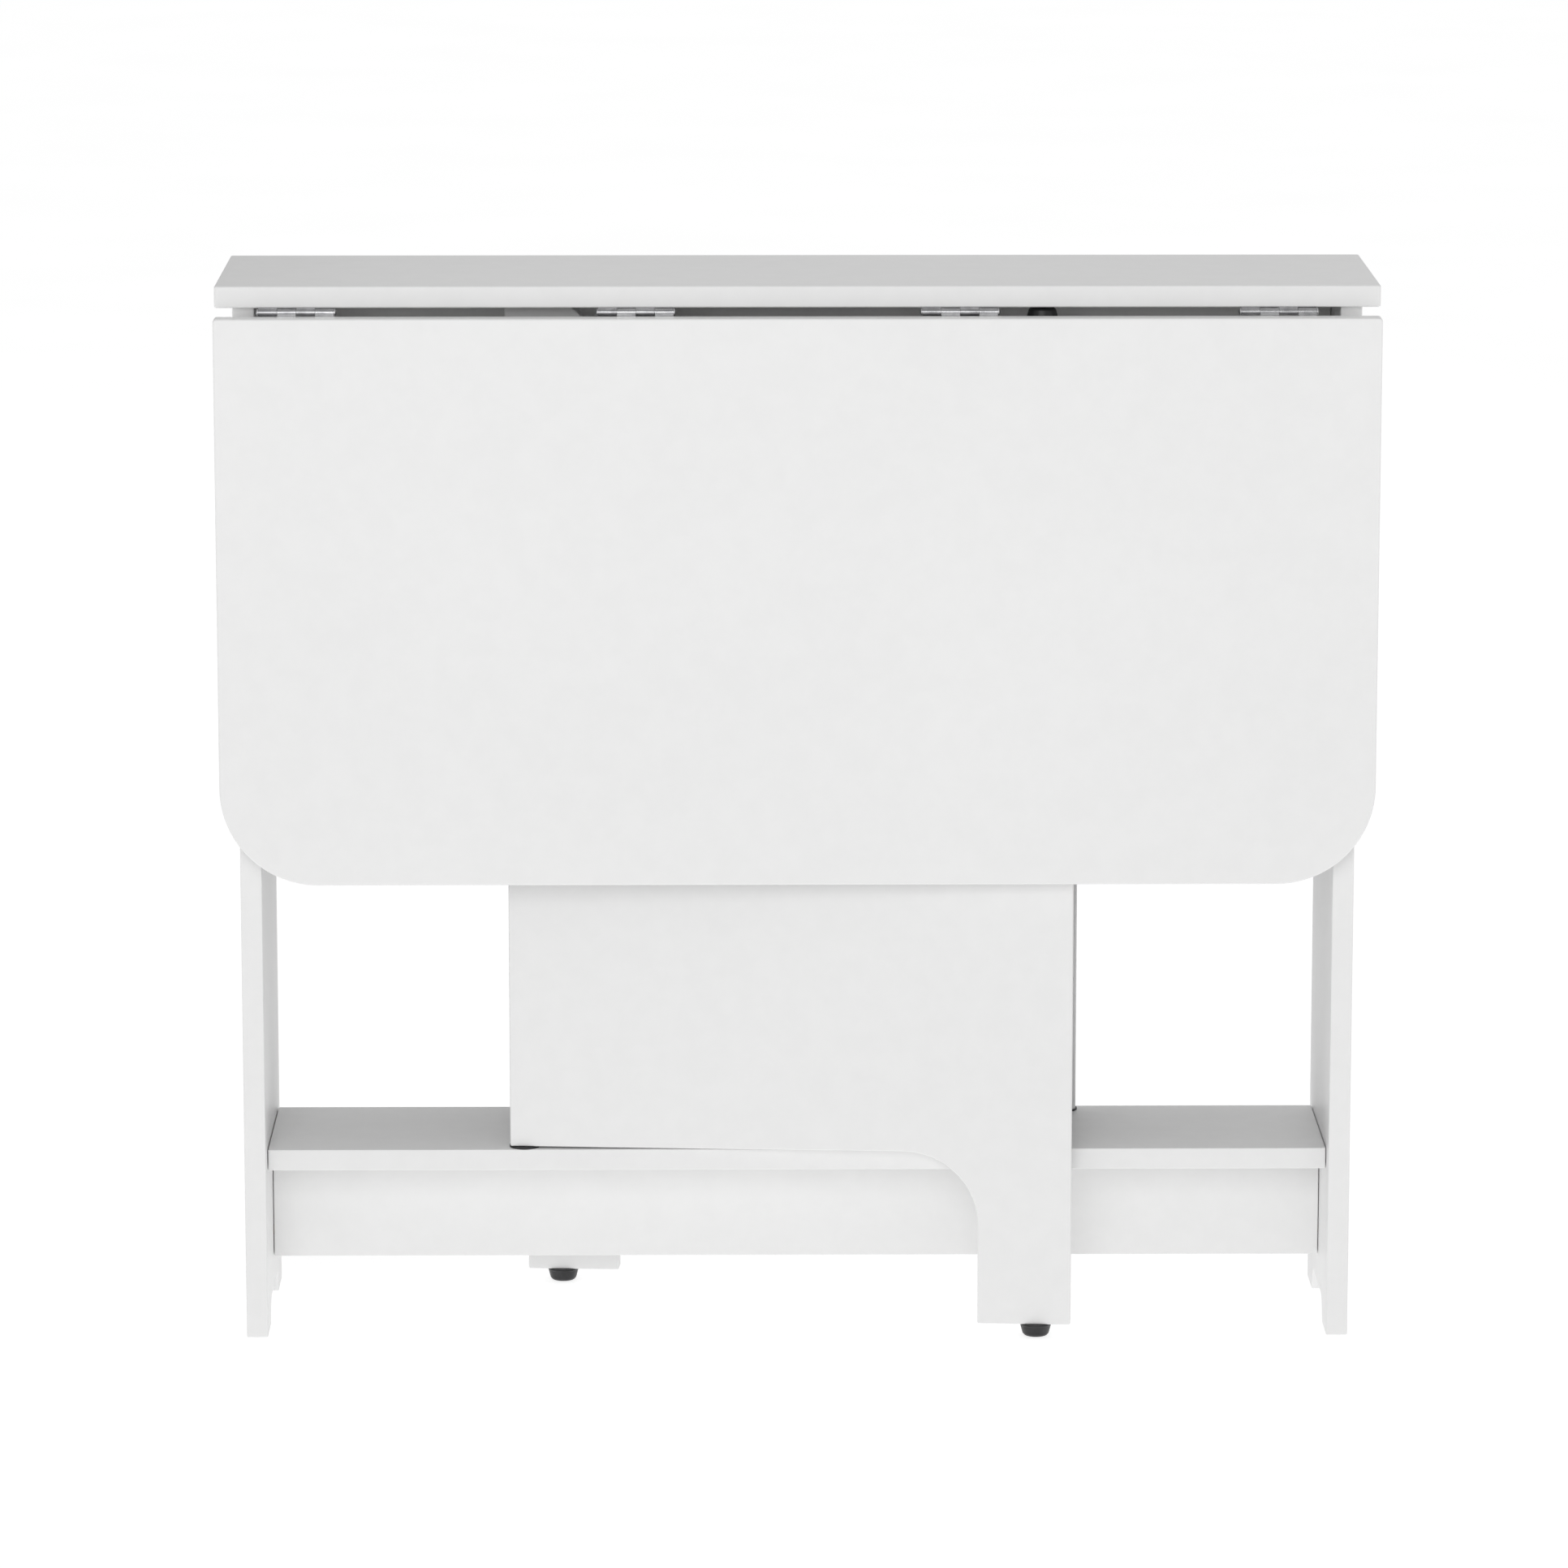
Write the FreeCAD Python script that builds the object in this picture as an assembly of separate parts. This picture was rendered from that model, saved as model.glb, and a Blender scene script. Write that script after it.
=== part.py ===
import FreeCAD, Part
import math, os

os.makedirs("parts", exist_ok=True)
V = FreeCAD.Vector

# ---------------------------------------------------------------------------
# Gateleg table, folded: a narrow fixed top on two end panels, a low shelf on a
# stretcher, a drop leaf hinged under each long edge of the top and, behind
# each leaf, a swinging board gate with one leg.
# Frame: origin on the floor in the middle of the table, +Z up, +X along the
# long side, -Y is the front.  The rear half is the front half turned by 180
# degrees about Z.  Millimetres.
# ---------------------------------------------------------------------------

# driving dimensions
TOP_LEN = 800.0          # X, top and leaves
TOP_DEPTH = 180.0        # Y, fixed top
HEIGHT = 746.0           # floor to top surface
BOARD = 15.0             # every board
PANEL_OUT = 388.0        # outer face of the end panels from the middle
PANEL_DEPTH = 164.0
FOOT_LEN = 36.0          # flat foot at each end of a panel's bottom edge
ARCH_H = 18.0            # relief between the two feet
ARCH_R = 14.0
SEAM = 0.5               # assembly gap at the ends of shelf, stretcher, rail
SHELF_DEPTH = 130.0
SHELF_TOP = 132.0
STRETCHER_LOW = 40.0
RAIL_H = 80.0            # upper rail below the fixed top

LEAF_DROP = 395.0        # leaf, hinge edge to free edge
LEAF_R = 68.0            # free corners
LEAF_SMALL_R = 2.5       # hinge-side corners

AXIS_DOWN = 3.0          # hinge axis below the underside of the top
AXIS_GAP = 2.4           # leaf edge from the hinge axis
BARREL_R = 2.65
HINGE_PIN_R = 1.5
RUN_FIT = 0.05           # radial running clearance
KNUCKLE = 13.0           # knuckle pitch, four to a hinge
KNUCKLE_GAP = 0.3
PLATE_W = 21.0           # hinge plate from the axis
PLATE_T = 1.2
HINGE_X = (-343.7, -111.0, 111.3, 330.0)
SCREW_X = (-19.0, 0.0, 19.0)
SCREW_OUT = (14.5, 11.0, 14.5)    # from the hinge axis
SCREW_R = 1.5
SCREW_HEAD_R = 2.9
SCREW_LEN = 12.5

PIVOT_X = -192.0
PIVOT_Y = -54.6
GATE_ANGLE = 3.8         # the folded gate stands this far from parallel
GATE_BACK = 9.6          # hinge-side edge behind the pivot
GATE_LEN = 385.5         # free edge from the pivot
LEG_IN = 320.0           # inner edge of the leg from the pivot
LEG_R = 53.0             # curve between the gate's lower edge and the leg
WASHER_T = 1.5
WASHER_R = 10.7
PIVOT_R = 4.0
PIVOT_IN_BOARD = 10.0
PIVOT_IN_GATE = 24.0
GATE_STEP = 10.0         # the gate's long upper edge below the top's underside
GATE_STEP_S = 36.0       # where the 45 degree step begins
FOOT_S = 361.0           # glide centre from the pivot
GLIDE_BASE_R = 11.3
GLIDE_TIP_R = 8.9
GLIDE_H = 9.0
GLIDE_NAIL_R = 2.0
GLIDE_NAIL = 16.0
FLOOR_GAP = 0.5          # gate glides clear the floor by this much

# derived levels
UNDER = HEIGHT - BOARD
EDGE_Y = -TOP_DEPTH / 2.0
AX_Z = UNDER - AXIS_DOWN
LEAF_IN_Y = EDGE_Y - AXIS_DOWN
LEAF_TOP_Z = AX_Z - AXIS_GAP
PANEL_IN = PANEL_OUT - BOARD
GATE_LOW = SHELF_TOP + WASHER_T
GATE_TOP = UNDER - WASHER_T
GATE_EDGE = UNDER - GATE_STEP
LEG_LOW = FLOOR_GAP + GLIDE_H


def box(x0, x1, y0, y1, z0, z1):
    return Part.makeBox(x1 - x0, y1 - y0, z1 - z0, V(x0, y0, z0))


def cyl(r, h, p, d):
    return Part.makeCylinder(r, h, V(*p), V(*d))


def cone(r0, r1, h, p, d):
    return Part.makeCone(r0, r1, h, V(*p), V(*d))


def half_turn(s):
    s = s.copy()
    s.rotate(V(0, 0, 0), V(0, 0, 1), 180)
    return s


def rounded_outline(points, to3d):
    """Closed wire through points (u, v, radius); a radius rounds that corner."""
    n = len(points)
    ends = []
    for i in range(n):
        u, v, r = points[i]
        pu, pv, _ = points[i - 1]
        nu, nv, _ = points[(i + 1) % n]
        if not r:
            ends.append(((u, v), None, (u, v)))
            continue
        a = (pu - u, pv - v)
        b = (nu - u, nv - v)
        la, lb = math.hypot(*a), math.hypot(*b)
        a = (a[0] / la, a[1] / la)
        b = (b[0] / lb, b[1] / lb)
        ang = math.acos(max(-1, min(1, a[0] * b[0] + a[1] * b[1])))
        t = r / math.tan(ang / 2)
        mid = (a[0] + b[0], a[1] + b[1])
        lm = math.hypot(*mid)
        c = r / math.sin(ang / 2)
        m = (u + mid[0] / lm * (c - r), v + mid[1] / lm * (c - r))
        ends.append(((u + a[0] * t, v + a[1] * t), m, (u + b[0] * t, v + b[1] * t)))
    edges = []
    for i in range(n):
        start, m, end = ends[i]
        if m:
            edges.append(Part.Arc(to3d(*start), to3d(*m), to3d(*end)).toShape())
        nxt = ends[(i + 1) % n][0]
        if math.hypot(nxt[0] - end[0], nxt[1] - end[1]) > 1e-6:
            edges.append(Part.makeLine(to3d(*end), to3d(*nxt)))
    return Part.Wire(edges)


def plate(points, to3d, along):
    return Part.Face(rounded_outline(points, to3d)).extrude(along)


# ------------------------------------------------------------------ fasteners
def hinge_screw(p, d):
    """Countersunk screw: p on the hinge plate's outer face, d into the wood."""
    p, d = V(*p), V(*d)
    head = Part.makeCone(SCREW_HEAD_R, SCREW_R, 1.5, p, d)
    shank = Part.makeCylinder(SCREW_R, SCREW_LEN - 3.5, p + d * 1.4, d)
    tip = Part.makeCone(SCREW_R, 0.4, 2.2, p + d * (SCREW_LEN - 2.1), d)
    s = head.fuse([shank, tip]).removeSplitter()
    slot_dir = V(1, 0, 0)
    side = d.cross(slot_dir)
    for a, b in ((slot_dir, side), (side, slot_dir)):
        q = p - a * 1.5 - b * 0.35 - d * 0.1
        e1, e2, e3 = a * 3.0, b * 0.7, d * 0.8
        pts = [q, q + e1, q + e1 + e2, q + e2, q]
        s = s.cut(Part.Face(Part.makePolygon(pts)).extrude(e3))
    return s


# ------------------------------------------------------------------- hinges
def knuckle_span(cx, i):
    x0 = cx - 2 * KNUCKLE + i * KNUCKLE
    return x0 + KNUCKLE_GAP / 2, x0 + KNUCKLE - KNUCKLE_GAP / 2


fixed_plates, leaf_plates, pins, fixed_screws, leaf_screws = [], [], [], [], []
for cx in HINGE_X:
    x0, x1 = cx - 2 * KNUCKLE + 0.15, cx + 2 * KNUCKLE - 0.15
    # fixed plate lies under the top
    fp = box(x0, x1, EDGE_Y, EDGE_Y + PLATE_W, UNDER - PLATE_T, UNDER)
    lp = box(x0, x1, LEAF_IN_Y, LEAF_IN_Y + PLATE_T, AX_Z - PLATE_W, AX_Z)
    for i in range(4):
        a, b = knuckle_span(cx, i)
        barrel = cyl(BARREL_R, b - a, (a, EDGE_Y, AX_Z), (1, 0, 0))
        relief = BARREL_R + 0.4
        g0 = cx - 2 * KNUCKLE + i * KNUCKLE - (1.0 if i == 0 else 0.15)
        g1 = g0 + KNUCKLE + 0.3 + (0.85 if i in (0, 3) else 0.0)
        if i % 2 == 0:
            web = box(a, b, EDGE_Y, EDGE_Y + 3.0, UNDER - PLATE_T, UNDER)
            fp = fp.fuse([barrel, web])
            lp = lp.cut(box(g0, g1, LEAF_IN_Y - 1, EDGE_Y + 4, AX_Z - relief, AX_Z + 4))
        else:
            web = box(a, b, LEAF_IN_Y, LEAF_IN_Y + PLATE_T, AX_Z - 3.0, AX_Z)
            fp = fp.cut(box(g0, g1, EDGE_Y - 4, EDGE_Y + relief, AX_Z - 4, UNDER + 1))
            lp = lp.fuse([barrel, web])
    bore = cyl(HINGE_PIN_R, 4 * KNUCKLE + 4, (cx - 2 * KNUCKLE - 2, EDGE_Y, AX_Z), (1, 0, 0))
    loose = cyl(HINGE_PIN_R + RUN_FIT, 4 * KNUCKLE + 4,
                (cx - 2 * KNUCKLE - 2, EDGE_Y, AX_Z), (1, 0, 0))
    fp = fp.cut(bore)
    lp = lp.cut(loose)
    pin = cyl(HINGE_PIN_R, 4 * KNUCKLE, (cx - 2 * KNUCKLE, EDGE_Y, AX_Z), (1, 0, 0))
    for sx in (-1, 1):
        # low domed head over each end of the barrel
        hx = cx + sx * (2 * KNUCKLE - 0.0)
        ball = Part.makeSphere(3.6, V(hx - sx * 1.9, EDGE_Y, AX_Z))
        keep = cyl(2.5, 1.6, (hx, EDGE_Y, AX_Z), (sx, 0, 0))
        pin = pin.fuse(ball.common(keep))
    pins.append(pin.removeSplitter())
    for dx, out in zip(SCREW_X, SCREW_OUT):
        s = hinge_screw((cx + dx, EDGE_Y + out, UNDER - PLATE_T), (0, 0, 1))
        fixed_screws.append(s)
        s = hinge_screw((cx + dx, LEAF_IN_Y + PLATE_T, AX_Z - out), (0, -1, 0))
        leaf_screws.append(s)
    fixed_plates.append(fp)
    leaf_plates.append(lp)


def screw_hole(p, d):
    p, d = V(*p), V(*d)
    head = Part.makeCone(SCREW_HEAD_R, SCREW_R, 1.5, p, d)
    shank = Part.makeCylinder(SCREW_R, SCREW_LEN - 3.5, p + d * 1.4, d)
    tip = Part.makeCone(SCREW_R, 0.4, 2.2, p + d * (SCREW_LEN - 2.1), d)
    return head.fuse([shank, tip])


fixed_holes, leaf_holes = [], []
for k, cx in enumerate(HINGE_X):
    fh = [screw_hole((cx + dx, EDGE_Y + out, UNDER - PLATE_T), (0, 0, 1))
          for dx, out in zip(SCREW_X, SCREW_OUT)]
    lh = [screw_hole((cx + dx, LEAF_IN_Y + PLATE_T, AX_Z - out), (0, -1, 0))
          for dx, out in zip(SCREW_X, SCREW_OUT)]
    fixed_plates[k] = fixed_plates[k].cut(fh).removeSplitter()
    leaf_plates[k] = leaf_plates[k].cut(lh).removeSplitter()
    fixed_holes += fh
    leaf_holes += lh

# ---------------------------------------------------------------------- leaf
h = TOP_LEN / 2.0
leaf = plate([(-h, LEAF_TOP_Z, LEAF_SMALL_R), (h, LEAF_TOP_Z, LEAF_SMALL_R),
              (h, LEAF_TOP_Z - LEAF_DROP, LEAF_R), (-h, LEAF_TOP_Z - LEAF_DROP, LEAF_R)],
             lambda u, v: V(u, LEAF_IN_Y, v), V(0, -BOARD, 0))
leaf = leaf.cut(leaf_holes)

# ---------------------------------------------------------------------- gate
# drawn along its own length from the pivot, then set at its folded angle
S45 = GATE_EDGE - GATE_TOP
gate = plate([(-GATE_BACK, GATE_LOW, 1.5), (-GATE_BACK, GATE_TOP, 0),
              (GATE_STEP_S, GATE_TOP, 0),
              (GATE_STEP_S + abs(S45), GATE_EDGE, 0),
              (GATE_LEN, GATE_EDGE, 1.5), (GATE_LEN, LEG_LOW, 0),
              (LEG_IN, LEG_LOW, 0), (LEG_IN, GATE_LOW, LEG_R)],
             lambda u, v: V(u, -BOARD / 2, v), V(0, BOARD, 0))
pivot_low = cyl(PIVOT_R, PIVOT_IN_BOARD + WASHER_T + PIVOT_IN_GATE,
                (0, 0, SHELF_TOP - PIVOT_IN_BOARD), (0, 0, 1))
pivot_high = cyl(PIVOT_R, PIVOT_IN_BOARD + WASHER_T + PIVOT_IN_GATE,
                 (0, 0, GATE_TOP - PIVOT_IN_GATE), (0, 0, 1))
socket_low = cyl(PIVOT_R + RUN_FIT, PIVOT_IN_GATE + 1.0, (0, 0, GATE_LOW), (0, 0, 1))
socket_high = cyl(PIVOT_R + RUN_FIT, PIVOT_IN_GATE + 1.0,
                  (0, 0, GATE_TOP - PIVOT_IN_GATE - 1.0), (0, 0, 1))
gate = gate.cut([socket_low, socket_high])


def washer(z):
    w = cyl(WASHER_R, WASHER_T - 0.3, (0, 0, z), (0, 0, 1))
    return w.cut(cyl(PIVOT_R, WASHER_T, (0, 0, z - 0.1), (0, 0, 1)))


def glide(z, up):
    """Tapered glide with its nail; z is the board's edge, up its direction."""
    body = cone(GLIDE_BASE_R, GLIDE_TIP_R + 0.4, GLIDE_H - 1.6, (FOOT_S, 0, z), (0, 0, up))
    tip = cone(GLIDE_TIP_R + 0.4, GLIDE_TIP_R - 1.0, 1.6,
               (FOOT_S, 0, z + up * (GLIDE_H - 1.6)), (0, 0, up))
    nail = cyl(GLIDE_NAIL_R, GLIDE_NAIL + 0.5, (FOOT_S, 0, z + up * 0.5), (0, 0, -up))
    return body.fuse([tip, nail]).removeSplitter()


# the base of a glide is wider than the board is thick, as the real ones are
foot = glide(LEG_LOW, -1)
pad = glide(GATE_EDGE, 1)
nail_holes = [cyl(GLIDE_NAIL_R, GLIDE_NAIL, (FOOT_S, 0, LEG_LOW), (0, 0, 1)),
              cyl(GLIDE_NAIL_R, GLIDE_NAIL, (FOOT_S, 0, GATE_EDGE), (0, 0, -1))]
gate = gate.cut(nail_holes)


def set_gate(s):
    s = s.copy()
    s.rotate(V(0, 0, 0), V(0, 0, 1), -GATE_ANGLE)
    s.translate(V(PIVOT_X, PIVOT_Y, 0))
    return s


gate, foot, pad = set_gate(gate), set_gate(foot), set_gate(pad)
pivot_pins = [set_gate(pivot_low), set_gate(pivot_high)]
washers = [set_gate(washer(SHELF_TOP)), set_gate(washer(UNDER - WASHER_T + 0.3))]

# ---------------------------------------------------- frame boards and joinery
ph = PANEL_DEPTH / 2.0
sh = SHELF_DEPTH / 2.0
end_in = PANEL_IN - SEAM
panel_pts = [(-ph, 0, 0), (-ph, UNDER, 0), (ph, UNDER, 0), (ph, 0, 0),
             (ph - FOOT_LEN, 0, 0), (ph - FOOT_LEN - 4, ARCH_H, ARCH_R),
             (-ph + FOOT_LEN + 4, ARCH_H, ARCH_R), (-ph + FOOT_LEN, 0, 0)]
left_panel = plate(panel_pts, lambda u, v: V(-PANEL_OUT, u, v), V(BOARD, 0, 0))
right_panel = plate(panel_pts, lambda u, v: V(PANEL_IN, u, v), V(BOARD, 0, 0))
shelf = box(-end_in, end_in, -sh, sh, SHELF_TOP - BOARD, SHELF_TOP)
stretcher = box(-end_in, end_in, -BOARD / 2, BOARD / 2, STRETCHER_LOW, SHELF_TOP - BOARD)
rail = box(-end_in, end_in, -BOARD / 2, BOARD / 2, UNDER - RAIL_H, UNDER)
top = box(-h, h, EDGE_Y, -EDGE_Y, UNDER, HEIGHT)

# wooden dowels, 8 x 30
dowels = []
for s in (-1, 1):
    for y, z in ((-44, SHELF_TOP - BOARD / 2), (44, SHELF_TOP - BOARD / 2),
                 (0, STRETCHER_LOW + 18), (0, UNDER - 20)):
        dowels.append(cyl(4.0, 30.0, (s * (PANEL_IN + 10), y, z), (-s, 0, 0)))
    for y in (-62, 62):
        dowels.append(cyl(4.0, 30.0, (s * (PANEL_OUT - BOARD / 2), y, UNDER - 20), (0, 0, 1)))
for x in (-220, 0, 220):
    dowels.append(cyl(4.0, 30.0, (x, 0, SHELF_TOP - BOARD - 20), (0, 0, 1)))
    dowels.append(cyl(4.0, 30.0, (x, 0, UNDER - 20), (0, 0, 1)))

# one-piece connector screws through the end panels, with push-in covers
conn, covers = [], []
for s in (-1, 1):
    for y, z in ((-22, SHELF_TOP - BOARD / 2), (22, SHELF_TOP - BOARD / 2),
                 (0, STRETCHER_LOW + 48), (0, UNDER - 55)):
        px = s * PANEL_OUT
        head = cyl(4.8, 3.0, (px - s * 1.0, y, z), (-s, 0, 0))
        neck = cyl(3.4, 10.0, (px - s * 4.0, y, z), (-s, 0, 0))
        body = cyl(2.6, 34.0, (px - s * 14.0, y, z), (-s, 0, 0))
        c = head.fuse([neck, body]).removeSplitter()
        conn.append(c)
        covers.append(cyl(6.0, 1.0, (px, y, z), (-s, 0, 0)))

# cam fittings that pull the panels up to the top: bolt and disc
cam_bolts, cams = [], []
for s in (-1, 1):
    for y in (-34, 34):
        cx = s * (PANEL_OUT - BOARD / 2)
        cam_bolts.append(cyl(3.0, 11.0 + 34.0, (cx, y, UNDER + 11.0), (0, 0, -1)))
        c = cyl(7.5, 12.0, (s * PANEL_IN, y, UNDER - 34.0), (s, 0, 0))
        c = c.cut(box(cx - 30, cx + 30, y - 3.4, y + 3.4, UNDER - 34.5, UNDER)
                  .common(cyl(9.0, 12.0, (s * (PANEL_IN + 2.5), y, UNDER - 34.0), (s, 0, 0))))
        slot = box(s * PANEL_IN - 1.0, s * PANEL_IN + 1.0, y - 4.5, y + 4.5,
                   UNDER - 34.8, UNDER - 33.2)
        slot2 = box(s * PANEL_IN - 1.0, s * PANEL_IN + 1.0, y - 0.8, y + 0.8,
                    UNDER - 38.5, UNDER - 29.5)
        cams.append(c.cut([slot, slot2]))
cam_bolts = [b.cut(cams).removeSplitter() for b in cam_bolts]

pivots_all = pivot_pins + [half_turn(p) for p in pivot_pins]
cam_holes = []
for s in (-1, 1):
    for y in (-34, 34):
        cam_holes.append(cyl(7.5, 12.0, (s * PANEL_IN, y, UNDER - 34.0), (s, 0, 0)))
        cam_holes.append(cyl(3.0, 45.0, (s * (PANEL_OUT - BOARD / 2), y, UNDER + 11.0),
                             (0, 0, -1)))

left_panel = left_panel.cut(dowels + conn + covers + cam_holes)
right_panel = right_panel.cut(dowels + conn + covers + cam_holes)
shelf = shelf.cut(dowels + conn + pivots_all)
stretcher = stretcher.cut(dowels + conn)
rail = rail.cut(dowels + conn)
all_fixed_holes = fixed_holes + [half_turn(s) for s in fixed_holes]
top = top.cut(dowels + cam_holes + pivots_all + all_fixed_holes)

# ------------------------------------------------------------------- writing
both = lambda shapes: shapes + [half_turn(s) for s in shapes]
nodes = {
    "fixed_top": [top],
    "left_end_panel": [left_panel],
    "right_end_panel": [right_panel],
    "lower_shelf": [shelf],
    "shelf_stretcher": [stretcher],
    "upper_rail": [rail],
    "front_leaf": [leaf],
    "rear_leaf": [half_turn(leaf)],
    "front_gate": [gate],
    "rear_gate": [half_turn(gate)],
    "front_gate_foot": [foot],
    "rear_gate_foot": [half_turn(foot)],
    "front_gate_pad": [pad],
    "rear_gate_pad": [half_turn(pad)],
    "gate_pivot_pins": both(pivot_pins),
    "gate_pivot_washers": both(washers),
    "front_hinge_top_plates": fixed_plates,
    "front_hinge_leaf_plates": leaf_plates,
    "front_hinge_pins": pins,
    "front_hinge_top_screws": fixed_screws,
    "front_hinge_leaf_screws": leaf_screws,
    "rear_hinge_top_plates": [half_turn(s) for s in fixed_plates],
    "rear_hinge_leaf_plates": [half_turn(s) for s in leaf_plates],
    "rear_hinge_pins": [half_turn(s) for s in pins],
    "rear_hinge_top_screws": [half_turn(s) for s in fixed_screws],
    "rear_hinge_leaf_screws": [half_turn(s) for s in leaf_screws],
    "wooden_dowels": dowels,
    "connector_screws": conn,
    "screw_covers": covers,
    "cam_bolts": cam_bolts,
    "cam_discs": cams,
}
for name, shapes in nodes.items():
    solids = []
    for s in shapes:
        solids += s.Solids
    bad = [i for i, s in enumerate(solids) if not s.isValid() or s.Volume <= 0]
    out = solids[0] if len(solids) == 1 else Part.makeCompound(solids)
    out.exportStep("parts/%s.step" % name)
    b = out.BoundBox
    print("%-26s %3d solids (%d shapes) bad %s  x %.1f %.1f  y %.1f %.1f  z %.1f %.1f" % (
        name, len(solids), len(shapes), bad, b.XMin, b.XMax, b.YMin, b.YMax, b.ZMin, b.ZMax))
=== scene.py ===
import math
import bmesh
import bpy
from mathutils import Matrix, Vector


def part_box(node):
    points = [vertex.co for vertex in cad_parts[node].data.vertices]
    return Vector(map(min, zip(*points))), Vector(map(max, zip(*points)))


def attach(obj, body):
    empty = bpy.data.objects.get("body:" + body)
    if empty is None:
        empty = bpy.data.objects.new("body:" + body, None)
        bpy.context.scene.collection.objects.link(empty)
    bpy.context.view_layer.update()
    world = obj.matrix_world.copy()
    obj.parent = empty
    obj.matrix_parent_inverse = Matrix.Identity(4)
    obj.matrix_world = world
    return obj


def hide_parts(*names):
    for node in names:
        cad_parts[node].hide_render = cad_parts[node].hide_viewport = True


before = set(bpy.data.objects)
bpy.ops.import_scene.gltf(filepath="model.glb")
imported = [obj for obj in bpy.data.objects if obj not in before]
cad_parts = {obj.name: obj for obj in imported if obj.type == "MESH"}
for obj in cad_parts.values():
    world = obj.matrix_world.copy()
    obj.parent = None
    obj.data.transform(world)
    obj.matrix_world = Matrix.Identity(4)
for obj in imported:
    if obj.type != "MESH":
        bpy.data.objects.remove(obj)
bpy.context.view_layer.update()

MM = 0.001

# ---------------------------------------------------------------- materials


def new_material(name):
    m = bpy.data.materials.new(name)
    m.use_nodes = True
    nt = m.node_tree
    nt.nodes.clear()
    out = nt.nodes.new("ShaderNodeOutputMaterial")
    b = nt.nodes.new("ShaderNodeBsdfPrincipled")
    nt.links.new(b.outputs["BSDF"], out.inputs["Surface"])
    return m, nt, b


def coords(nt, scale=(1, 1, 1)):
    tc = nt.nodes.new("ShaderNodeTexCoord")
    mp = nt.nodes.new("ShaderNodeMapping")
    mp.inputs["Scale"].default_value = scale
    nt.links.new(tc.outputs["Object"], mp.inputs["Vector"])
    return mp.outputs["Vector"]


def noise(nt, vec, scale, detail=3.0, rough=0.5):
    n = nt.nodes.new("ShaderNodeTexNoise")
    n.inputs["Scale"].default_value = scale
    n.inputs["Detail"].default_value = detail
    n.inputs["Roughness"].default_value = rough
    nt.links.new(vec, n.inputs["Vector"])
    return n.outputs["Fac"]


def ramp(nt, fac, stops):
    r = nt.nodes.new("ShaderNodeValToRGB")
    el = r.color_ramp.elements
    while len(el) < len(stops):
        el.new(0.5)
    for e, (p, c) in zip(el, stops):
        e.position = p
        e.color = (*c, 1.0)
    nt.links.new(fac, r.inputs["Fac"])
    return r.outputs["Color"]


def remap(nt, fac, a, b, lo=0.0, hi=1.0):
    r = nt.nodes.new("ShaderNodeMapRange")
    r.inputs["From Min"].default_value = lo
    r.inputs["From Max"].default_value = hi
    r.inputs["To Min"].default_value = a
    r.inputs["To Max"].default_value = b
    nt.links.new(fac, r.inputs["Value"])
    return r.outputs["Result"]


def bump(nt, height, strength, distance, normal=None):
    b = nt.nodes.new("ShaderNodeBump")
    b.inputs["Strength"].default_value = strength
    b.inputs["Distance"].default_value = distance
    nt.links.new(height, b.inputs["Height"])
    if normal is not None:
        nt.links.new(normal, b.inputs["Normal"])
    return b.outputs["Normal"]


def mixed(nt, fac, a, b):
    m = nt.nodes.new("ShaderNodeMix")
    m.data_type = "RGBA"
    nt.links.new(fac, m.inputs["Factor"])
    nt.links.new(a, m.inputs["A"])
    nt.links.new(b, m.inputs["B"])
    return m.outputs["Result"]


def lacquer(name, low, high, seed):
    """Sprayed satin lacquer on board: cloudy tone, fine orange peel, a few
    faint rubbed streaks that show in the gloss only."""
    m, nt, b = new_material(name)
    v = coords(nt)
    shift = nt.nodes.new("ShaderNodeMapping")
    shift.inputs["Location"].default_value = (seed * 1.7, seed * 0.9, seed * 2.3)
    nt.links.new(v, shift.inputs["Vector"])
    v = shift.outputs["Vector"]
    cloud = noise(nt, v, 2.6, 4.0, 0.55)
    fine = noise(nt, v, 60.0, 3.0, 0.6)
    base = ramp(nt, cloud, [(0.3, low), (0.7, high)])
    speck = ramp(nt, fine, [(0.35, tuple(c * 0.988 for c in low)), (0.65, high)])
    half = nt.nodes.new("ShaderNodeMix")
    half.data_type = "RGBA"
    half.inputs["Factor"].default_value = 0.35
    nt.links.new(base, half.inputs["A"])
    nt.links.new(speck, half.inputs["B"])
    nt.links.new(half.outputs["Result"], b.inputs["Base Color"])
    # streaks: noise stretched along the board
    st = nt.nodes.new("ShaderNodeMapping")
    st.inputs["Scale"].default_value = (3.0, 90.0, 90.0)
    nt.links.new(v, st.inputs["Vector"])
    streak = noise(nt, st.outputs["Vector"], 1.0, 5.0, 0.6)
    rg = nt.nodes.new("ShaderNodeMath")
    rg.operation = "MULTIPLY_ADD"
    nt.links.new(streak, rg.inputs[0])
    rg.inputs[1].default_value = 0.10
    nt.links.new(remap(nt, cloud, 0.30, 0.40), rg.inputs[2])
    nt.links.new(rg.outputs[0], b.inputs["Roughness"])
    peel = noise(nt, v, 420.0, 2.0, 0.5)
    wave = noise(nt, v, 9.0, 2.0, 0.5)
    n1 = bump(nt, wave, 0.05, 0.004)
    n2 = bump(nt, peel, 0.10, 0.0002, n1)
    nt.links.new(n2, b.inputs["Normal"])
    b.inputs["IOR"].default_value = 1.46
    return m


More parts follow.
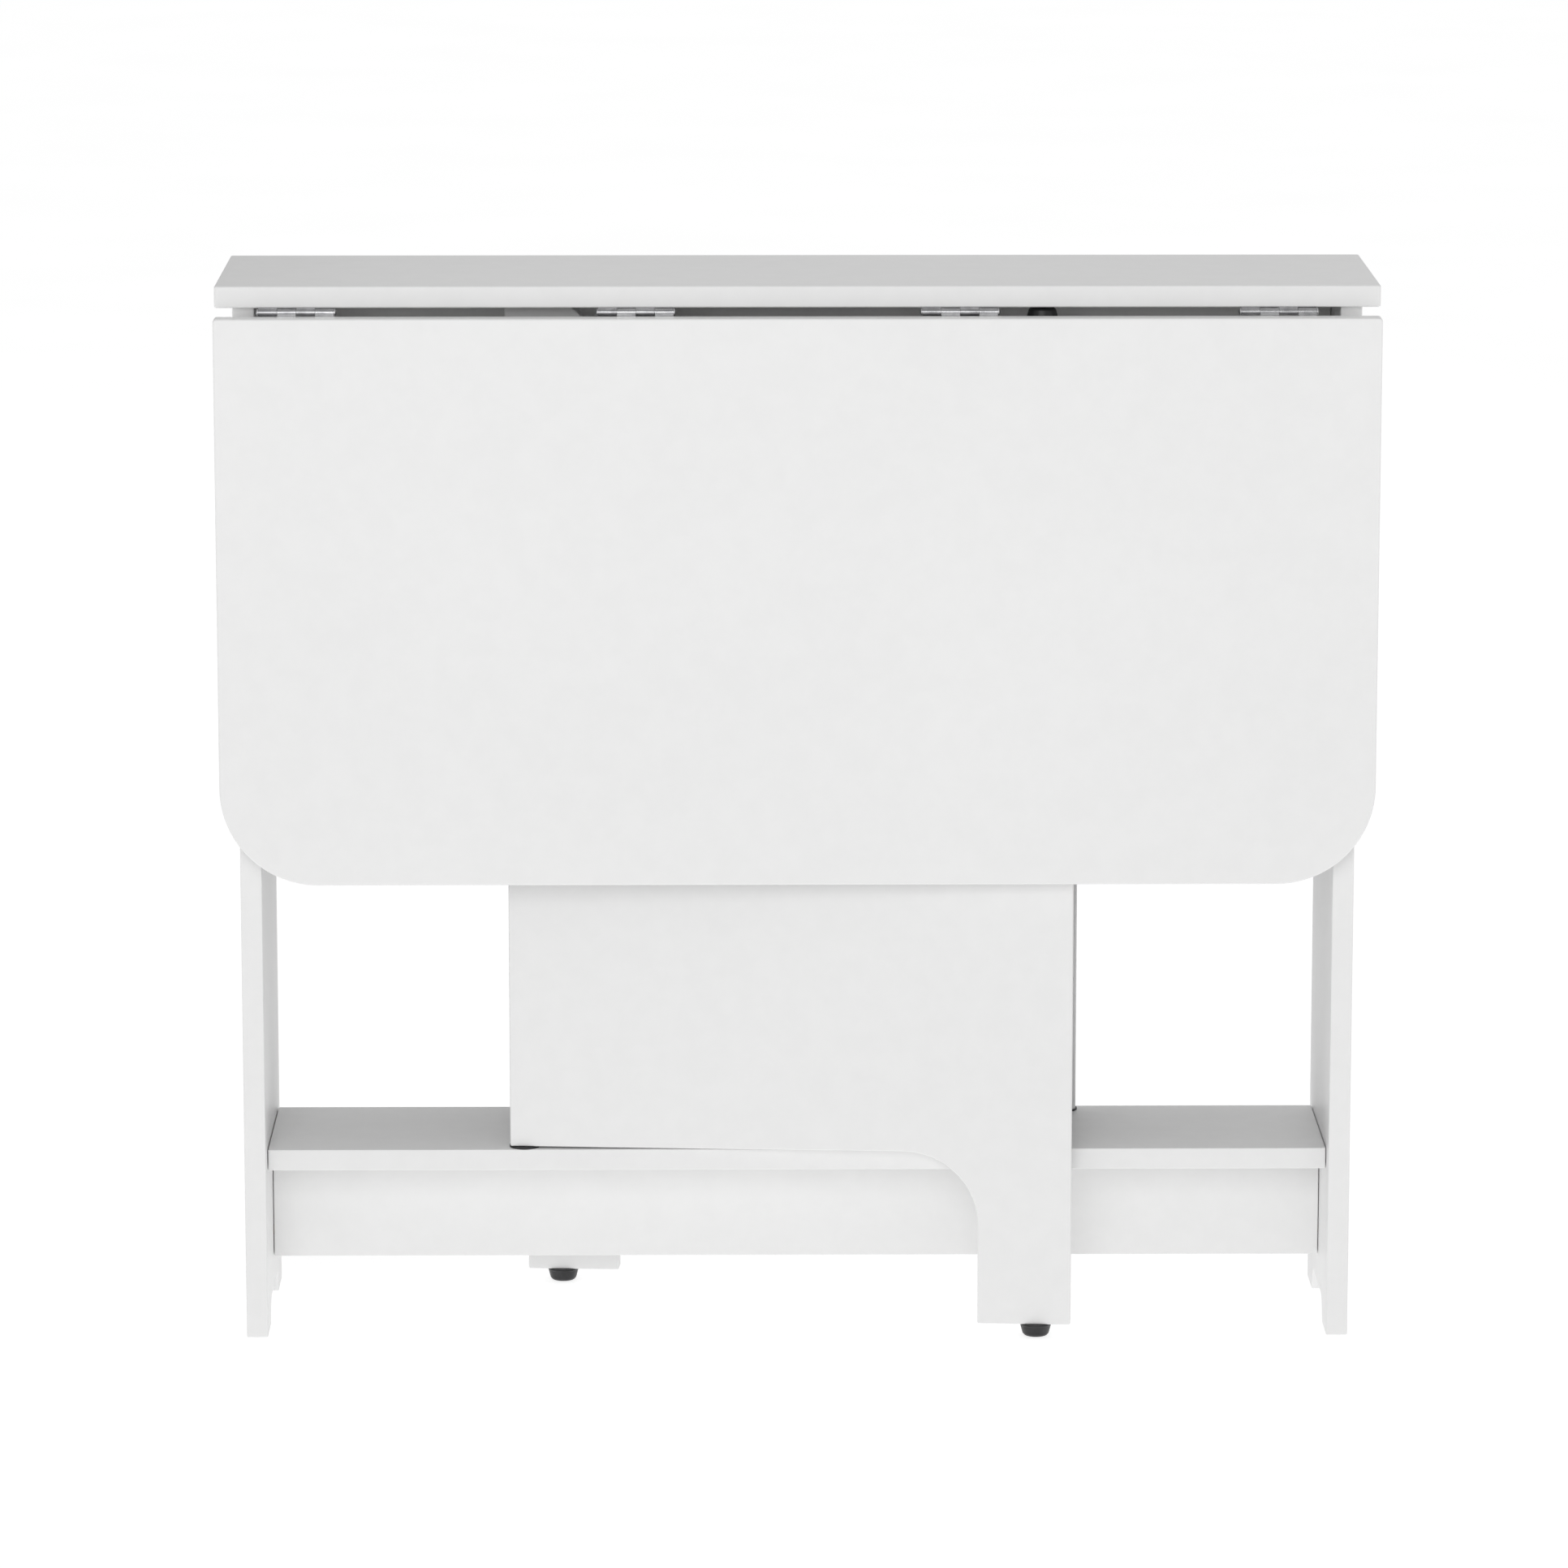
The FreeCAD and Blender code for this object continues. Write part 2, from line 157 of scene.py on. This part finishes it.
def steel(name, low, high, along, r0, r1):
    """Rolled or turned plated steel, with draw marks along one direction."""
    m, nt, b = new_material(name)
    b.inputs["Metallic"].default_value = 1.0
    sc = [900.0, 900.0, 900.0]
    sc[along] = 40.0
    v = coords(nt, tuple(sc))
    lines = noise(nt, v, 1.0, 4.0, 0.65)
    blot = noise(nt, coords(nt), 120.0, 3.0, 0.6)
    c1 = ramp(nt, lines, [(0.3, low), (0.7, high)])
    c2 = ramp(nt, blot, [(0.35, tuple(c * 0.8 for c in low)), (0.6, high)])
    half = nt.nodes.new("ShaderNodeMix")
    half.data_type = "RGBA"
    half.inputs["Factor"].default_value = 0.35
    nt.links.new(c1, half.inputs["A"])
    nt.links.new(c2, half.inputs["B"])
    nt.links.new(half.outputs["Result"], b.inputs["Base Color"])
    nt.links.new(remap(nt, lines, r0, r1), b.inputs["Roughness"])
    nt.links.new(bump(nt, lines, 0.15, 0.0001), b.inputs["Normal"])
    return m


def plastic(name, low, high, r0, r1, grain=900.0, strength=0.25):
    m, nt, b = new_material(name)
    v = coords(nt)
    g = noise(nt, v, grain, 3.0, 0.6)
    blot = noise(nt, v, 90.0, 3.0, 0.5)
    nt.links.new(ramp(nt, blot, [(0.35, low), (0.65, high)]), b.inputs["Base Color"])
    nt.links.new(remap(nt, g, r0, r1), b.inputs["Roughness"])
    nt.links.new(bump(nt, g, strength, 0.0001), b.inputs["Normal"])
    return m


def beech(name):
    m, nt, b = new_material(name)
    v = coords(nt, (60.0, 400.0, 400.0))
    g = noise(nt, v, 1.0, 5.0, 0.6)
    nt.links.new(ramp(nt, g, [(0.3, (0.45, 0.30, 0.17)), (0.7, (0.68, 0.50, 0.32))]),
                 b.inputs["Base Color"])
    nt.links.new(remap(nt, g, 0.55, 0.75), b.inputs["Roughness"])
    nt.links.new(bump(nt, g, 0.3, 0.0002), b.inputs["Normal"])
    return m


LOW, HIGH = (0.850, 0.850, 0.848), (0.882, 0.882, 0.880)
whites = [lacquer("white_lacquer_%d" % i, LOW, HIGH, i + 1.0) for i in range(4)]
# hinge plates: the draw marks are the steel's own, but the overall tone is set darker than the other steels as
# painted shade for the dim reflections under the top's overhang
hinge_steel = steel("hinge_steel", (0.26, 0.26, 0.27), (0.50, 0.50, 0.51), 0, 0.16, 0.32)
plate_steel = steel("plate_steel", (0.42, 0.42, 0.43), (0.62, 0.62, 0.63), 0, 0.25, 0.42)
screw_steel = steel("screw_steel", (0.50, 0.49, 0.47), (0.70, 0.69, 0.66), 2, 0.22, 0.4)
cam_zinc = steel("cam_zinc", (0.42, 0.42, 0.42), (0.58, 0.58, 0.58), 1, 0.38, 0.55)
black = plastic("black_glide_plastic", (0.010, 0.010, 0.011), (0.022, 0.022, 0.024), 0.30, 0.50)
white_cap = plastic("white_cover_plastic", (0.80, 0.80, 0.79), (0.87, 0.87, 0.86), 0.35, 0.5,
                    600.0, 0.1)
wood = beech("beech_dowel")

# --------------------------------------------------------------- mesh tools


def outline(points, seg=14):
    """(u, v, radius) corners to a closed list of 2D points."""
    pts = []
    n = len(points)
    for i in range(n):
        u, v, r = points[i]
        if not r:
            pts.append((u, v))
            continue
        p = Vector(points[i - 1][:2]) - Vector((u, v))
        q = Vector(points[(i + 1) % n][:2]) - Vector((u, v))
        p.normalize()
        q.normalize()
        ang = p.angle(q)
        t = r / math.tan(ang / 2)
        c = Vector((u, v)) + (p + q).normalized() * (r / math.sin(ang / 2))
        a = Vector((u, v)) + p * t - c
        b = Vector((u, v)) + q * t - c
        a0 = math.atan2(a.y, a.x)
        da = math.atan2(a.x * b.y - a.y * b.x, a.dot(b))
        for k in range(seg + 1):
            w = a0 + da * k / seg
            pts.append((c.x + r * math.cos(w), c.y + r * math.sin(w)))
    return pts


def area2(pts):
    return sum(a[0] * b[1] - b[0] * a[1] for a, b in zip(pts, pts[1:] + pts[:1])) / 2


def inset(pts, d):
    """Moves each corner inward by d along its mitre; pts run anticlockwise."""
    out = []
    n = len(pts)
    for i in range(n):
        p, c, q = Vector(pts[i - 1]), Vector(pts[i]), Vector(pts[(i + 1) % n])
        e1, e2 = (c - p).normalized(), (q - c).normalized()
        n1, n2 = Vector((-e1.y, e1.x)), Vector((-e2.y, e2.x))
        m = n1 + n2
        m = m / max(1e-9, m.dot(n1))
        out.append((c.x + m.x * d, c.y + m.y * d))
    return out


def finish_mesh(bm, name, mats, body, nodes, weighted=True):
    bmesh.ops.recalc_face_normals(bm, faces=bm.faces)
    me = bpy.data.meshes.new(name)
    for f in bm.faces:
        f.smooth = True
    bm.to_mesh(me)
    bm.free()
    o = bpy.data.objects.new(name, me)
    bpy.context.scene.collection.objects.link(o)
    for m in (mats if isinstance(mats, (list, tuple)) else [mats]):
        me.materials.append(m)
    if weighted:
        w = o.modifiers.new("normals", "WEIGHTED_NORMAL")
        w.mode = "FACE_AREA"
        w.weight = 100
        w.keep_sharp = True
    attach(o, body)
    if nodes:
        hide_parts(*nodes)
    return o


def slab(name, pts, place, thick, mat, body, node, r=1.1, seg=4):
    """A board: flat faces, outline pts (mm), edges rounded by r (mm)."""
    if area2(pts) < 0:
        pts = pts[::-1]
    bm = bmesh.new()
    rings = []
    prof = [(r * (1 - math.sin(k / seg * math.pi / 2)), r * (1 - math.cos(k / seg * math.pi / 2)))
            for k in range(seg + 1)]
    prof += [(d, thick - t) for d, t in reversed(prof)]
    for d, t in prof:
        ring = [bm.verts.new(Vector(place(u, v, t)) * MM) for u, v in inset(pts, d)]
        rings.append(ring)
    n = len(pts)
    for a, b in zip(rings, rings[1:]):
        for i in range(n):
            bm.faces.new((a[i], a[(i + 1) % n], b[(i + 1) % n], b[i]))
    bm.faces.new(rings[0][::-1])
    bm.faces.new(rings[-1])
    o = finish_mesh(bm, name, mat, body, [node])
    return o


def lathe(bm, profile, p, axis, seg=64, mat=0):
    """Revolves (radius, height) points (mm) about axis through p (mm)."""
    axis = Vector(axis).normalized()
    side = axis.orthogonal().normalized()
    up = axis.cross(side)
    p = Vector(p)
    rings = []
    for r, h in profile:
        if r < 1e-6:
            rings.append([bm.verts.new((p + axis * h) * MM)])
        else:
            rings.append([bm.verts.new((p + axis * h + (side * math.cos(w) + up * math.sin(w)) * r) * MM)
                          for w in (2 * math.pi * k / seg for k in range(seg))])
    for a, b in zip(rings, rings[1:]):
        for i in range(seg):
            j = (i + 1) % seg
            if len(a) == 1 and len(b) == 1:
                continue
            if len(a) == 1:
                f = bm.faces.new((a[0], b[j], b[i]))
            elif len(b) == 1:
                f = bm.faces.new((a[i], a[j], b[0]))
            else:
                f = bm.faces.new((a[i], a[j], b[j], b[i]))
            f.material_index = mat


def rounded_profile(pts, seg=4):
    """(radius, height, fillet) points to a smooth (radius, height) profile."""
    out = []
    for i, (x, y, r) in enumerate(pts):
        if not r or i in (0, len(pts) - 1):
            out.append((x, y))
            continue
        c = Vector((x, y))
        p = (Vector(pts[i - 1][:2]) - c).normalized()
        q = (Vector(pts[i + 1][:2]) - c).normalized()
        ang = p.angle(q)
        t = r / math.tan(ang / 2)
        for k in range(seg + 1):
            w = k / seg
            a = c + p * t * (1 - w) ** 2 + q * t * w ** 2
            out.append((a.x, a.y))
    return out


def half(p):
    return (-p[0], -p[1], p[2])


# ------------------------------------------------------------------- boards
def mm_box(node):
    lo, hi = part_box(node)
    return [c * 1000.0 for c in lo], [c * 1000.0 for c in hi]


lo, hi = mm_box("fixed_top")
top = slab("fixed_top_board",
           outline([(lo[0], lo[1], 2.0), (hi[0], lo[1], 2.0), (hi[0], hi[1], 2.0), (lo[0], hi[1], 2.0)], 5),
           lambda u, v, t: (u, v, lo[2] + t), hi[2] - lo[2], whites[0], "frame", "fixed_top", r=1.3)

lo_s, hi_s = mm_box("lower_shelf")
slab("lower_shelf_board",
     outline([(lo_s[0], lo_s[1], 1.1), (hi_s[0], lo_s[1], 1.1), (hi_s[0], hi_s[1], 1.1), (lo_s[0], hi_s[1], 1.1)], 3),
     lambda u, v, t: (u, v, lo_s[2] + t), hi_s[2] - lo_s[2], whites[1], "frame", "lower_shelf", r=0.8)

for node, name, k in (("shelf_stretcher", "shelf_stretcher_board", 2), ("upper_rail", "upper_rail_board", 3)):
    a, b = mm_box(node)
    slab(name, outline([(a[0], a[2], 1.1), (b[0], a[2], 1.1), (b[0], b[2], 1.1), (a[0], b[2], 1.1)], 3),
         lambda u, v, t, a=a: (u, a[1] + t, v), b[1] - a[1], whites[k], "frame", node, r=0.8)

FOOT_LEN, ARCH_H, ARCH_R = 36.0, 18.0, 14.0
for node, name, k in (("left_end_panel", "left_end_panel_board", 2), ("right_end_panel", "right_end_panel_board", 1)):
    a, b = mm_box(node)
    f, g = a[1] + FOOT_LEN, b[1] - FOOT_LEN
    pts = outline([(a[1], 0, 1.3), (a[1], b[2], 1.3), (b[1], b[2], 1.3), (b[1], 0, 1.3),
                   (g, 0, 1.3), (g - 4, ARCH_H, ARCH_R), (f + 4, ARCH_H, ARCH_R), (f, 0, 1.3)], 10)
    slab(name, pts, lambda u, v, t, a=a: (a[0] + t, u, v), b[0] - a[0], whites[k], "frame", node, r=1.0)

for node, name, body, k in (("front_leaf", "front_leaf_board", "front_leaf_body", 0),
                            ("rear_leaf", "rear_leaf_board", "rear_leaf_body", 1)):
    a, b = mm_box(node)
    pts = outline([(a[0], a[2], 68.0), (b[0], a[2], 68.0), (b[0], b[2], 2.5), (a[0], b[2], 2.5)], 28)
    slab(name, pts, lambda u, v, t, a=a: (u, a[1] + t, v), b[1] - a[1], whites[k], body, node, r=1.3)

# gates: drawn along their own length from the pivot, at the folded angle
PIVOT = (-192.0, -54.6)
ANG = math.radians(-3.8)
GB, GL, LEG_IN, LEG_R = 9.6, 385.5, 320.0, 53.0
GLOW, GTOP, GEDGE, LEGLOW, STEP_S = 133.5, 729.5, 721.0, 9.5, 36.0
gate_pts = outline([(-GB, GLOW, 1.5), (-GB, GTOP, 1.3), (STEP_S, GTOP, 1.5),
                    (STEP_S + GTOP - GEDGE, GEDGE, 1.5), (GL, GEDGE, 1.5), (GL, LEGLOW, 1.3),
                    (LEG_IN, LEGLOW, 1.3), (LEG_IN, GLOW, LEG_R)], 24)


def on_gate(s, t, z):
    x = s * math.cos(ANG) - t * math.sin(ANG) + PIVOT[0]
    y = s * math.sin(ANG) + t * math.cos(ANG) + PIVOT[1]
    return (x, y, z)


slab("front_gate_board", gate_pts, lambda u, v, t: on_gate(u, t - 7.5, v), 15.0,
     whites[3], "front_gate_body", "front_gate", r=1.0)
slab("rear_gate_board", gate_pts, lambda u, v, t: half(on_gate(u, t - 7.5, v)), 15.0,
     whites[2], "rear_gate_body", "rear_gate", r=1.0)

# glides: tapered black plastic with a rim at the base and a dished tip
glide_profile = rounded_profile([
    (0, 0.02, 0), (10.9, 0.02, 0.1), (11.3, 0.35, 0.3), (11.3, 1.1, 0.4), (10.9, 1.5, 0.3),
    (9.35, 7.4, 0.8), (8.0, 9.0, 1.1), (6.1, 9.0, 0.3), (5.4, 8.5, 0.3), (2.6, 8.1, 0.2),
    (2.3, 7.4, 0.2), (0, 7.3, 0)], 5)
S_GLIDE = 361.0
for side, fn, body in (("front", lambda p: p, "front_gate_body"), ("rear", half, "rear_gate_body")):
    for kind, z, d in (("foot", LEGLOW, -1), ("pad", GEDGE, 1)):
        bm = bmesh.new()
        lathe(bm, glide_profile, fn(on_gate(S_GLIDE, 0, z)), (0, 0, d), 72)
        o = finish_mesh(bm, "%s_gate_%s_glide" % (side, kind), black, body,
                        ["%s_gate_%s" % (side, kind)])

# push-in covers over the connector screws, slightly domed and proud
bm = bmesh.new()
cover_profile = rounded_profile([(0, 0.75, 0), (4.6, 0.66, 1.0), (6.35, 0.30, 0.3),
                                 (6.5, -0.1, 0.1), (6.0, -0.9, 0)], 5)
for s in (-1, 1):
    for y, z in ((-22, 124.5), (22, 124.5), (0, 88.0), (0, 676.0)):
        lathe(bm, cover_profile, (s * 388.0, y, z), (s, 0, 0), 48)
o = finish_mesh(bm, "screw_cover_caps", white_cap, "frame", ["screw_covers"])

# cam discs, seen on the inner faces of the end panels: a dished cross recess
bm = bmesh.new()
for s in (-1, 1):
    for y in (-34, 34):
        ax = Vector((-s, 0, 0))
        c = Vector((s * 373.0, y, 697.0))
        e1, e2 = Vector((0, 1, 0)), Vector((0, 0, 1))
        seg = 48

        def at(a, b, h, c=c, ax=ax):
            return bm.verts.new((c + e1 * a + e2 * b + ax * h) * MM)
        rings = []
        for r, h in ((7.5, -1.0), (7.5, 0.0), (7.35, 0.18), (7.1, 0.25)):
            rings.append([at(r * math.cos(2 * math.pi * k / seg), r * math.sin(2 * math.pi * k / seg), h)
                          for k in range(seg)])
        for p, q in zip(rings, rings[1:]):
            for i in range(seg):
                bm.faces.new((p[i], p[(i + 1) % seg], q[(i + 1) % seg], q[i]))
        w, l = 0.8, 4.6
        cross = [(w, w), (w, l), (-w, l), (-w, w), (-l, w), (-l, -w), (-w, -w), (-w, -l), (w, -l),
                 (w, -w), (l, -w), (l, w)]
        rim = [at(a, b, 0.25) for a, b in cross]
        low = [at(a * 0.9, b * 0.96, -1.4) for a, b in cross]
        edges = []
        for ring in (rings[-1], rim):
            for i in range(len(ring)):
                e = bm.edges.get((ring[i], ring[(i + 1) % len(ring)]))
                edges.append(e or bm.edges.new((ring[i], ring[(i + 1) % len(ring)])))
        bmesh.ops.triangle_fill(bm, edges=edges, use_beauty=True)
        for i in range(12):
            bm.faces.new((rim[i], rim[(i + 1) % 12], low[(i + 1) % 12], low[i]))
        bm.faces.new(low)
o = finish_mesh(bm, "cam_disc_faces", cam_zinc, "frame", ["cam_discs"])

# -------------------------------------------------- carried-over CAD nodes
finish_of = {
    "front_hinge_top_plates": hinge_steel, "rear_hinge_top_plates": hinge_steel,
    "front_hinge_leaf_plates": hinge_steel, "rear_hinge_leaf_plates": hinge_steel,
    "front_hinge_pins": plate_steel, "rear_hinge_pins": plate_steel,
    "front_hinge_top_screws": screw_steel, "rear_hinge_top_screws": screw_steel,
    "front_hinge_leaf_screws": screw_steel, "rear_hinge_leaf_screws": screw_steel,
    "gate_pivot_pins": plate_steel, "gate_pivot_washers": black,
    "wooden_dowels": wood, "connector_screws": screw_steel, "cam_bolts": screw_steel,
}
for node, mat in finish_of.items():
    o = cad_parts[node]
    o.data.materials.clear()
    o.data.materials.append(mat)
for node in ("front_hinge_top_plates", "rear_hinge_top_plates", "front_hinge_leaf_plates",
             "rear_hinge_leaf_plates", "gate_pivot_washers"):
    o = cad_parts[node]
    b = o.modifiers.new("edges", "BEVEL")
    b.width = 0.00018
    b.segments = 2
    b.limit_method = "ANGLE"
    b.angle_limit = math.radians(40)
    w = o.modifiers.new("normals", "WEIGHTED_NORMAL")
    w.mode = "FACE_AREA"

# ------------------------------------------------------------------- stage
fm, nt, b = new_material("pale_floor")
b.inputs["Roughness"].default_value = 0.9
b.inputs["Specular IOR Level"].default_value = 0.0
b.inputs["Emission Strength"].default_value = 0.79
b.inputs["Emission Color"].default_value = (1, 1, 1, 1)
nt.links.new(ramp(nt, noise(nt, coords(nt), 3.0), [(0.3, (0.36, 0.36, 0.36)), (0.7, (0.38, 0.38, 0.38))]),
             b.inputs["Base Color"])
fm.cycles.emission_sampling = "NONE"
fme = bpy.data.meshes.new("floor")
S = 30.0
fme.from_pydata([(-S, -S, -0.0002), (S, -S, -0.0002), (S, S, -0.0002), (-S, S, -0.0002)], [], [(0, 1, 2, 3)])
floor = bpy.data.objects.new("floor", fme)
fme.materials.append(fm)
bpy.context.scene.collection.objects.link(floor)

scene = bpy.context.scene
world = bpy.data.worlds.new("studio")
scene.world = world
world.use_nodes = True
wt = world.node_tree
wt.nodes.clear()
wo = wt.nodes.new("ShaderNodeOutputWorld")
bg = wt.nodes.new("ShaderNodeBackground")
tc = wt.nodes.new("ShaderNodeTexCoord")
sep = wt.nodes.new("ShaderNodeSeparateXYZ")
rm = wt.nodes.new("ShaderNodeMapRange")
rm.inputs["From Min"].default_value = -1.0
rm.inputs["From Max"].default_value = 1.0
cr = wt.nodes.new("ShaderNodeValToRGB")
el = cr.color_ramp.elements
while len(el) < 5:
    el.new(0.5)
for e, (p, v) in zip(el, [(0.0, 0.8), (0.497, 0.8), (0.505, 0.34), (0.62, 0.46), (1.0, 0.62)]):
    e.position = p
    e.color = (v, v, v, 1)
wt.links.new(tc.outputs["Generated"], sep.inputs[0])
wt.links.new(sep.outputs["Z"], rm.inputs["Value"])
wt.links.new(rm.outputs["Result"], cr.inputs["Fac"])
wt.links.new(cr.outputs["Color"], bg.inputs["Color"])
bg.inputs["Strength"].default_value = 1.02
wt.links.new(bg.outputs[0], wo.inputs["Surface"])


def area_light(name, pos, target, sx, sy, power):
    d = bpy.data.lights.new(name, "AREA")
    d.shape = "RECTANGLE"
    d.size, d.size_y = sx, sy
    d.energy = power
    o = bpy.data.objects.new(name, d)
    o.location = pos
    o.rotation_euler = (Vector(target) - Vector(pos)).to_track_quat("-Z", "Y").to_euler()
    scene.collection.objects.link(o)
    return o


area_light("key", (-0.5, -4.4, 1.9), (0, 0, 0.42), 2.2, 1.5, 40.0)
area_light("back", (0.6, 4.0, 2.3), (0, 0, 0.15), 2.5, 1.5, 8.0)
area_light("side_fill", (3.6, -0.8, 2.0), (0, 0, 0.5), 1.6, 1.6, 6.0)

# ------------------------------------------------------------------- camera
cam = bpy.data.cameras.new("camera")
cam.sensor_width = 36.0
cam.lens = 168.2
cam.clip_end = 200.0
co = bpy.data.objects.new("camera", cam)
eye = Vector((-0.0525, -5.082, 1.361))
aim = Vector((-0.0094, -0.082, 0.3970))
co.location = eye
co.rotation_euler = (aim - eye).to_track_quat("-Z", "Y").to_euler()
scene.collection.objects.link(co)
scene.camera = co
scene.view_settings.view_transform = "Standard"
